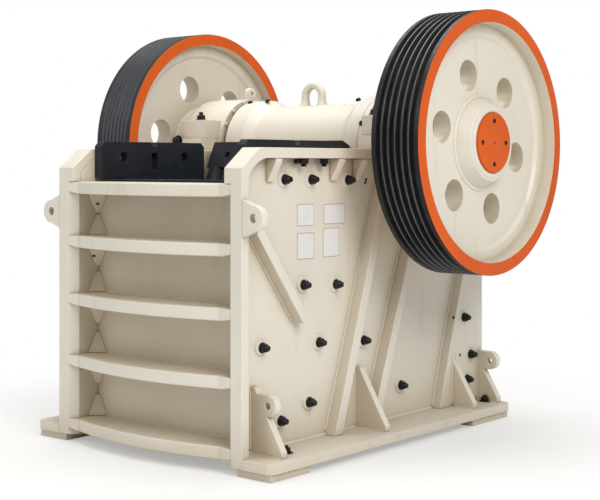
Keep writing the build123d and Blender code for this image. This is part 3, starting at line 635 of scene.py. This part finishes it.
def rail_bolts(bm, side):
    """Foundation bolts: a washer, a hex nut and a short stud on the rail."""
    for x, y in RAIL_BOLTS:
        hex_head(bm, at(side * x, y, RAIL_TOP), (0, 0, 1), 24, 20, 33)
        lathe(bm, at(side * x, y, RAIL_TOP), (0, 0, 1), [(13, 10), (13, 31), (11, 34)], 18)


def housing_bolts(bm, side):
    """The nuts on the ears of the bearing caps."""
    for y in (-EAR_NUT_Y, EAR_NUT_Y):
        hex_head(bm, at(side * EAR_NUT_X, y, EAR_TOP), (0, 0, 1), 24, 24, 30)
        lathe(bm, at(side * EAR_NUT_X, y, EAR_TOP), (0, 0, 1), [(12, 18), (12, 42), (10, 45)], 16)


def housing_side_bolts(bm, side):
    """The side bolts that lock the lower halves of the bearing housings."""
    for y, facing in ((-LOCK_BOLT_Y, -1), (LOCK_BOLT_Y, 1)):
        hex_head(bm, at(side * LOCK_BOLT_X, y, LOCK_BOLT_Z), (0, facing, 0), 24, 24, 31)
        lathe(bm, at(side * LOCK_BOLT_X, y, LOCK_BOLT_Z), (0, facing, 0), [(12, 20), (12, 34), (10, 37)], 16)


def cover_bolts(bm, side):
    """The ring of bolts on a bearing housing's outer cover."""
    for i in range(COVER_BOLT_COUNT):
        angle = math.tau * (i + 0.5) / COVER_BOLT_COUNT
        y, z = COVER_BOLT_CIRCLE * math.cos(angle), COVER_BOLT_CIRCLE * math.sin(angle)
        hex_head(bm, at(side * COVER_FACE, y, z), (side, 0, 0), 11, 7)


def inner_ring_bolts(bm, side):
    """Small bolts round the inner end of a bearing housing, on its upper half."""
    for angle_deg in RING_BOLT_DEGREES:
        angle = math.radians(angle_deg)
        y, z = -RING_BOLT_CIRCLE * math.cos(angle), RING_BOLT_CIRCLE * math.sin(angle)
        hex_head(bm, at(side * WALL_INNER, y, z), (-side, 0, 0), 10, 8, 13)


def collar_bolts(bm, side):
    """Bolts that stand on the pitman's collars, with a round seat under each."""
    places = ((332, 24), (452, 64)) if side > 0 else ((345, 12), (452, 18))
    for x, angle_deg in places:
        angle = math.radians(angle_deg)
        out = (0, -math.sin(angle), math.cos(angle))
        base = at(side * x, COLLAR_RADIUS * out[1], PITMAN_DROP + COLLAR_RADIUS * out[2])
        hex_head(bm, base, out, 12, 8, 15)


def collar_shoulders(bm, side):
    """The cast shoulder between the pitman's barrel and its collar."""
    profile = [(296, 225.2), (308, 228), (322, 235), (335, 246), (346, 255), (362, 261), (362.5, 224)]
    turned_ring(bm, [(side * x, radius) for x, radius in profile], PITMAN_DROP)


def hub_rings(bm, side):
    """The stepped ring round a hub cap and the cast bead at the hub's root."""
    step = [(1073, 149), (1079, 150), (1080, 152), (1080, 168), (1077, 173), (1073, 175)]
    turned_ring(bm, [(side * x, radius) for x, radius in step])
    root = []
    for i in range(9):
        angle = math.radians(180 * i / 8)
        root.append((1006.5 + 9 * math.sin(angle), 228 - 12 * math.cos(angle)))
    turned_ring(bm, [(side * x, radius) for x, radius in root])


def cap_centre_shade(bm, side):
    """A dark disc of painted shade at the small centre hole left in the hub cap by the lathe."""
    lathe(bm, at(side * (CAP_FACE + 1.3), 0, 0), (side, 0, 0), [(6, 0), (6, 0.5), (4.6, 0.7), (2, 0.6)], 16)


def pitman_cover_bolts(bm, side):
    """Bolts on the outer face of the pitman's end ring."""
    for i in range(PITMAN_BOLT_COUNT):
        angle = math.tau * (i + 0.5) / PITMAN_BOLT_COUNT
        y = PITMAN_BOLT_CIRCLE * math.cos(angle)
        z = PITMAN_DROP + PITMAN_BOLT_CIRCLE * math.sin(angle)
        hex_head(bm, at(side * PITMAN_COVER_FACE, y, z), (side, 0, 0), 11, 8)


def hub_cap_screws(bm, side):
    """Sunk socket screws in the hub cap: a dark ring with a hex socket."""
    for i in range(CAP_SCREW_COUNT):
        angle = math.tau * i / CAP_SCREW_COUNT
        y, z = CAP_SCREW_CIRCLE * math.cos(angle), CAP_SCREW_CIRCLE * math.sin(angle)
        base = at(side * CAP_FACE, y, z)
        rings = [(12.5, -2), (12.5, 0.9), (11.4, 1.7), (6.4, 1.7), (6.2, 0.3)]
        lathe(bm, base, (side, 0, 0), rings, 18)


def jaw_point(along, out):
    """The (y, z) place on the moving jaw, as in the part's source."""
    shift = (JAW_TOP_Z - JAW_PASSES_Z) / math.cos(JAW_LEAN)
    start_y = JAW_PASSES_Y + shift * math.sin(JAW_LEAN)
    y = start_y - along * math.sin(JAW_LEAN) - out * math.cos(JAW_LEAN)
    z = JAW_TOP_Z - along * math.cos(JAW_LEAN) + out * math.sin(JAW_LEAN)
    return y, z


def retainer_screws(bm):
    """The two socket screws that hold the bar at the moving jaw plate's top."""
    axis = (0, -math.cos(JAW_LEAN), math.sin(JAW_LEAN))
    for x in (-RETAINER_SCREW_X, RETAINER_SCREW_X):
        y, z = jaw_point(-74, -16 - 26)
        rings = [(14.5, 0), (15, 1), (15, 13), (13.6, 14.5), (8.2, 14.5), (7.8, 6.0)]
        lathe(bm, at(x, y, z), axis, rings, 20)


both_sides(wall_bolt_bosses, "wall_bolt_seats", cream, "frame", "cream_paint")
both_sides(wall_bolt_nuts, "wall_bolts", oxide, "frame", "black_steel")
both_sides(hanging_bolts, "flange_clamp_bolts", oxide, "frame", "black_steel")
both_sides(rail_bolts, "foundation_bolts", oxide, "frame", "black_steel")
both_sides(housing_bolts, "housing_nuts", oxide, "frame", "black_steel")
both_sides(housing_side_bolts, "housing_side_bolts", oxide, "frame", "black_steel")
both_sides(cover_bolts, "bearing_cover_bolts", oxide, "frame", "black_steel")
both_sides(inner_ring_bolts, "housing_ring_bolts", cream, "frame", "cream_paint")
both_sides(collar_shoulders, "collar_shoulders", cream, "swing_jaw", "cream_paint")
both_sides(hub_rings, "hub_rings", web_cream, "rotor", "wheel_paint")
both_sides(cap_centre_shade, "cap_centre_shade", oxide, "rotor", "black_steel")
both_sides(collar_bolts, "pitman_collar_bolts", oxide, "swing_jaw", "black_steel")
both_sides(pitman_cover_bolts, "pitman_cover_bolts", oxide, "swing_jaw", "black_steel")
both_sides(hub_cap_screws, "hub_cap_screws", oxide, "rotor", "black_steel")

screws = bmesh.new()
retainer_screws(screws)
finish_piece(screws, "retainer_screws", oxide, "swing_jaw", "black_steel")


def lifting_eye_arch(bm):
    """The cast lifting eye: a round arch with soft sides whose feet spread on the barrel."""
    middle_x, middle_z, middle_radius = -57.0, 264.0, 58.5
    half_width, half_depth, roundness, section_sides = 18.5, 20.5, 0.6, 20
    foot = ((200, 1.75), (212, 1.50), (220, 1.28), (232, 1.10), (248, 1.0))
    stations = []
    for z, spread in foot:
        stations.append((middle_x - middle_radius, z, 180.0, spread))
    for i in range(25):
        stations.append((None, None, 180.0 - i * 7.5, 1.0))
    for z, spread in reversed(foot):
        stations.append((middle_x + middle_radius, z, 0.0, spread))
    loops = []
    for x, z, angle_deg, spread in stations:
        angle = math.radians(angle_deg)
        if x is None:
            x = middle_x + middle_radius * math.cos(angle)
            z = middle_z + middle_radius * math.sin(angle)
        loop = []
        for k in range(section_sides):
            turn = math.tau * k / section_sides
            across = math.copysign(abs(math.cos(turn)) ** roundness, math.cos(turn)) * half_width * spread
            deep = math.copysign(abs(math.sin(turn)) ** roundness, math.sin(turn)) * half_depth * spread
            loop.append(bm.verts.new(at(x + across * math.cos(angle), deep, z + across * math.sin(angle))))
        loops.append(loop)
    skin(bm, loops)


eye = bmesh.new()
lifting_eye_arch(eye)
eye_piece = finish_piece(eye, "lifting_eye_arch", cream, "swing_jaw", "cream_paint", smooth=True)
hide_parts("lifting_eye")


def rib_ends(bm, side):
    """The flared ends with which the front ribs reach over the posts' bevels."""
    for top in RIB_TOPS:
        low = top - RIB_HEIGHT
        corners = ((474, -1302, 0, 0), (511, -1262, 0, 0), (551, -1308, 13, -3))
        lower = [bm.verts.new(at(side * x, y, low + up)) for x, y, up, down in corners]
        upper = [bm.verts.new(at(side * x, y, top - 0.5 + down)) for x, y, up, down in corners]
        for i in range(3):
            j = (i + 1) % 3
            bm.faces.new((lower[i], lower[j], upper[j], upper[i]))
        bm.faces.new(upper)
        bm.faces.new(list(reversed(lower)))


def corner_fill(corner, first, second, radius):
    """The outline between a corner and an arc that touches both of its edges."""
    corner = Vector(corner)
    one = (Vector(first) - corner).normalized()
    two = (Vector(second) - corner).normalized()
    half = one.angle(two) / 2
    reach = radius / math.tan(half)
    middle = corner + (one + two).normalized() * radius / math.sin(half)
    start = corner + one * reach - middle
    end = corner + two * reach - middle
    points = [corner - (one + two) * 2]
    for i in range(11):
        spoke = start.lerp(end, i / 10).normalized() * radius
        points.append(middle + spoke)
    return [tuple(point) for point in points]


def offset_line(start, end, distance):
    """A (y, z) line moved sideways, as the edge of a bar is from its middle."""
    length = math.hypot(end[0] - start[0], end[1] - start[1])
    dy = (end[1] - start[1]) / length * distance
    dz = (start[0] - end[0]) / length * distance
    return (start[0] + dy, start[1] + dz), (end[0] + dy, end[1] + dz)


# The two long ribs and the brace: the ends of the middle line as (y, z), then half the width
RIB_LINES = (
    ((-204, -134), (-626, -1392), 28),
    ((-4, -500), (-338, -1392), 28),
    ((-1187, -398), (-866, -826), 25),
)


def rib_feet(bm, side):
    """The feet with which the two long ribs run out onto the rail."""
    for start, end, half in RIB_LINES[:2]:
        length = math.hypot(end[0] - start[0], end[1] - start[1])
        dy, dz = (end[0] - start[0]) / length, (end[1] - start[1]) / length
        outline = []
        for distance in (-half - 0.6, half + 0.6):
            a, b = offset_line(start, end, distance)
            high = (b[0] - dy * 60, b[1] - dz * 60)
            fall = (high[1] - RAIL_TOP) / -dz
            edge = [high, (high[0] + dy * fall, RAIL_TOP)]
            outline += edge if distance < 0 else edge[::-1]
        prism(bm, outline, side * WALL_OUTER, side * (FRAME_HALF_WIDTH - 0.6))


def flange_fillets(bm, side):
    """The round inner corners of the thick flange, at the post and at the top."""
    post, slant, back = (-1260.0, -145.4), (-1173.5, -78.0), (-800.0, -78.0)
    down = (-1260.0, -600.0)
    for outline in (corner_fill(post, down, slant, 95), corner_fill(slant, post, back, 130)):
        prism(bm, outline, side * (WALL_OUTER - 1), side * (FRAME_HALF_WIDTH - 3))


def hole_shade_discs(bm):
    """Dark discs of painted shade at small vent holes in the front bays and on the right side."""
    for x, y, z, axis in (
        (-488, -1169, -301, (0.7, -0.7, 0)),
        (-499, -1183, -560, (0.7, -0.7, 0)),
        (WALL_OUTER, -328, -182, (1, 0, 0)),
        (WALL_OUTER, -336, -197, (1, 0, 0)),
        (PAD_FACE, 433, -1132, (1, 0, 0)),
        (PAD_FACE, 372, -925, (1, 0, 0)),
    ):
        lathe(bm, at(x, y, z), axis, [(8.5, -3), (8.5, 0.8), (7, 1.4), (4, 1.2)], 14)


both_sides(rib_ends, "front_rib_ends", cream, "frame", "cream_paint", bevel=0.003)
both_sides(rib_feet, "rib_feet", cream, "frame", "cream_paint", bevel=0.004)
both_sides(flange_fillets, "flange_fillets", cream, "frame", "cream_paint", bevel=0.004)
marks = bmesh.new()
hole_shade_discs(marks)
finish_piece(marks, "hole_shade_discs", hole_shade, "frame", "black_steel")


# Weld seams of the frame
GUSSET_PLACES = (-1162.0, -399.0, 378.0, 615.0)


def side_welds(bm, side):
    """Seams of ribs, gussets and rail against a side wall."""
    x = side * WALL_OUTER
    for start, end, half in RIB_LINES:
        for distance in (-half, half):
            a, b = offset_line(start, end, distance)
            bead(bm, [(x, *a), (x, *b)], 11.0 if distance < 0 else 8.0, distance)
    bead(bm, [(x, POST_FRONT + 50, RAIL_TOP), (x, 245, RAIL_TOP)], 12.0, 3)
    bead(bm, [(x, POST_FRONT + 48, RAIL_TOP + 4), (x, POST_FRONT + 48, -172)], 5.0, 5)
    bead(bm, [(x, 245, RAIL_TOP), (x, 330, -1100), (x, 560, -420)], 9.0, 7)
    foot = side * 728
    for place in GUSSET_PLACES:
        wall_x = side * (PAD_FACE if place > 0 else WALL_OUTER)
        for y in (place - 19, place + 19):
            bead(bm, [(wall_x, y, RAIL_TOP + 280), (wall_x, y, RAIL_TOP), (foot, y, RAIL_TOP)], 6.0, y)


def front_welds(bm, side):
    """Seams of the front ribs against the front wall and the posts."""
    for top in RIB_TOPS[:-1]:
        for z in (top - RIB_HEIGHT, top):
            if z == RIB_TOPS[0]:
                continue
            bead(bm, [(0, FRONT_WALL_FACE, z), (side * 504, FRONT_WALL_FACE, z)], 6.0, z)
    bead(bm, [(0, FRONT_WALL_FACE, RIB_TOPS[4]), (side * 504, FRONT_WALL_FACE, RIB_TOPS[4])], 6.0, 11)


def rear_welds(bm, side):
    """Seams of the rear ribs against the rear wall and the side walls."""
    for top in REAR_RIB_TOPS:
        for z in (top - REAR_RIB_HEIGHT, top):
            if z == REAR_RIB_TOPS[0]:
                continue
            bead(bm, [(0, REAR_WALL_BACK, z), (side * 506, REAR_WALL_BACK, z)], 6.0, z)
            wall_x = side * WALL_INNER
            bead(bm, [(wall_x, REAR_WALL_BACK + 8, z), (wall_x, REAR_RIB_END, z)], 6.0, z)


both_sides(side_welds, "side_welds", cream, "frame", "cream_paint", smooth=True)
both_sides(front_welds, "front_welds", cream, "frame", "cream_paint", smooth=True)
both_sides(rear_welds, "rear_welds", cream, "frame", "cream_paint", smooth=True)


def plate_sheets(bm, grow, thickness):
    """Four thin plates with round corners, at the places of the notices."""
    for y_from, y_to, z_top, z_low in BLANK_PLATES:
        corners = []
        inset = 4.0
        radius = inset + grow
        for cy, cz, start in (
            (y_to - inset, z_top - inset, 0),
            (y_from + inset, z_top - inset, 90),
            (y_from + inset, z_low + inset, 180),
            (y_to - inset, z_low + inset, 270),
        ):
            for step in range(5):
                angle = math.radians(start + step * 22.5)
                corners.append((cy + radius * math.cos(angle), cz + radius * math.sin(angle)))
        prism(bm, corners, WALL_OUTER - 0.5, WALL_OUTER + thickness)


plates = bmesh.new()
plate_sheets(plates, -3.0, 1.4)
finish_piece(plates, "blank_plates", plate_blank, "frame", "cream_paint", bevel=0.0003)
rims = bmesh.new()
plate_sheets(rims, 0.0, 0.9)
finish_piece(rims, "plate_rims", plate_rim, "frame", "bright_steel", bevel=0.0003)


# Background, floor, lamps and camera


def white_for_camera(tree, lit, output, white):
    """Shows a white background to the camera and the lit one elsewhere."""
    path = tree.nodes.new("ShaderNodeLightPath")
    mix = tree.nodes.new("ShaderNodeMixShader")
    tree.links.new(path.outputs["Is Camera Ray"], mix.inputs[0])
    tree.links.new(lit, mix.inputs[1])
    tree.links.new(white, mix.inputs[2])
    tree.links.new(mix.outputs[0], output)


world = bpy.data.worlds.new("studio")
bpy.context.scene.world = world
world.use_nodes = True
sky = world.node_tree
light_sky = sky.nodes["Background"]
light_sky.inputs["Color"].default_value = (1.0, 0.985, 0.96, 1)
light_sky.inputs["Strength"].default_value = 0.42
white_sky = sky.nodes.new("ShaderNodeBackground")
white_sky.inputs["Color"].default_value = (1, 1, 1, 1)
white_sky.inputs["Strength"].default_value = 1.0
white_for_camera(
    sky, light_sky.outputs[0], sky.nodes["World Output"].inputs["Surface"], white_sky.outputs[0]
)

# The floor is matte near the machine and fades to white for the camera
floor_mesh = bpy.data.meshes.new("floor")
floor_bm = bmesh.new()
bmesh.ops.create_grid(floor_bm, x_segments=8, y_segments=8, size=14.0)
floor_bm.to_mesh(floor_mesh)
floor_bm.free()
floor = bpy.data.objects.new("floor", floor_mesh)
bpy.context.scene.collection.objects.link(floor)
floor_shader = bpy.data.materials.new("pale_floor")
floor_shader.use_nodes = True
floor_tree = floor_shader.node_tree
matte = floor_tree.nodes["Principled BSDF"]
matte.inputs["Base Color"].default_value = (0.90, 0.90, 0.89, 1)
matte.inputs["Roughness"].default_value = 0.9
matte.inputs["Specular IOR Level"].default_value = 0.1
glow = floor_tree.nodes.new("ShaderNodeEmission")
glow.inputs["Color"].default_value = (1, 1, 1, 1)
glow.inputs["Strength"].default_value = 1.0
place = floor_tree.nodes.new("ShaderNodeTexCoord")
reach = floor_tree.nodes.new("ShaderNodeVectorMath")
reach.operation = "LENGTH"
floor_tree.links.new(place.outputs["Object"], reach.inputs[0])
fade = floor_tree.nodes.new("ShaderNodeMapRange")
fade.interpolation_type = "SMOOTHSTEP"
fade.inputs["From Min"].default_value = 1.0
fade.inputs["From Max"].default_value = 2.5
fade.inputs["To Min"].default_value = 0.35
floor_tree.links.new(reach.outputs["Value"], fade.inputs["Value"])
camera_ray = floor_tree.nodes.new("ShaderNodeLightPath")
amount = floor_tree.nodes.new("ShaderNodeMath")
amount.operation = "MULTIPLY"
floor_tree.links.new(fade.outputs[0], amount.inputs[0])
floor_tree.links.new(camera_ray.outputs["Is Camera Ray"], amount.inputs[1])
floor_mix = floor_tree.nodes.new("ShaderNodeMixShader")
floor_tree.links.new(amount.outputs[0], floor_mix.inputs[0])
floor_tree.links.new(matte.outputs[0], floor_mix.inputs[1])
floor_tree.links.new(glow.outputs[0], floor_mix.inputs[2])
floor_tree.links.new(floor_mix.outputs[0], floor_tree.nodes["Material Output"].inputs["Surface"])
floor_mesh.materials.append(floor_shader)


def area_light(name, place, target, size, energy, colour):
    """A soft square lamp that looks at a target."""
    data = bpy.data.lights.new(name, "AREA")
    data.shape = "SQUARE"
    data.size = size
    data.energy = energy
    data.color = colour
    lamp = bpy.data.objects.new(name, data)
    bpy.context.scene.collection.objects.link(lamp)
    lamp.location = place
    lamp.rotation_euler = (Vector(target) - Vector(place)).to_track_quat("-Z", "Y").to_euler()
    return lamp


area_light("key", (5.6, -2.4, 4.8), (0.3, -0.1, 0.9), 3.4, 262, (1.0, 0.985, 0.96))
area_light("front_fill", (-2.4, -6.0, 4.4), (0, 0, 1.0), 3.6, 88, (1.0, 0.98, 0.95))
area_light("top", (-0.5, 0.2, 6.0), (0, 0, 1.0), 4.0, 200, (1.0, 0.99, 0.97))

# The camera that was fitted to the photograph
camera_data = bpy.data.cameras.new("camera")
camera = bpy.data.objects.new("camera", camera_data)
bpy.context.scene.collection.objects.link(camera)
bpy.context.scene.camera = camera
camera.location = (4.46654, -5.2112, 1.36978)
camera.rotation_euler = (math.radians(90), 0, math.radians(40.1901))
camera_data.sensor_width = 36.0
camera_data.lens = 78.097
camera_data.shift_y = -0.14374
camera_data.clip_end = 100.0

bpy.context.scene.view_settings.view_transform = "Standard"
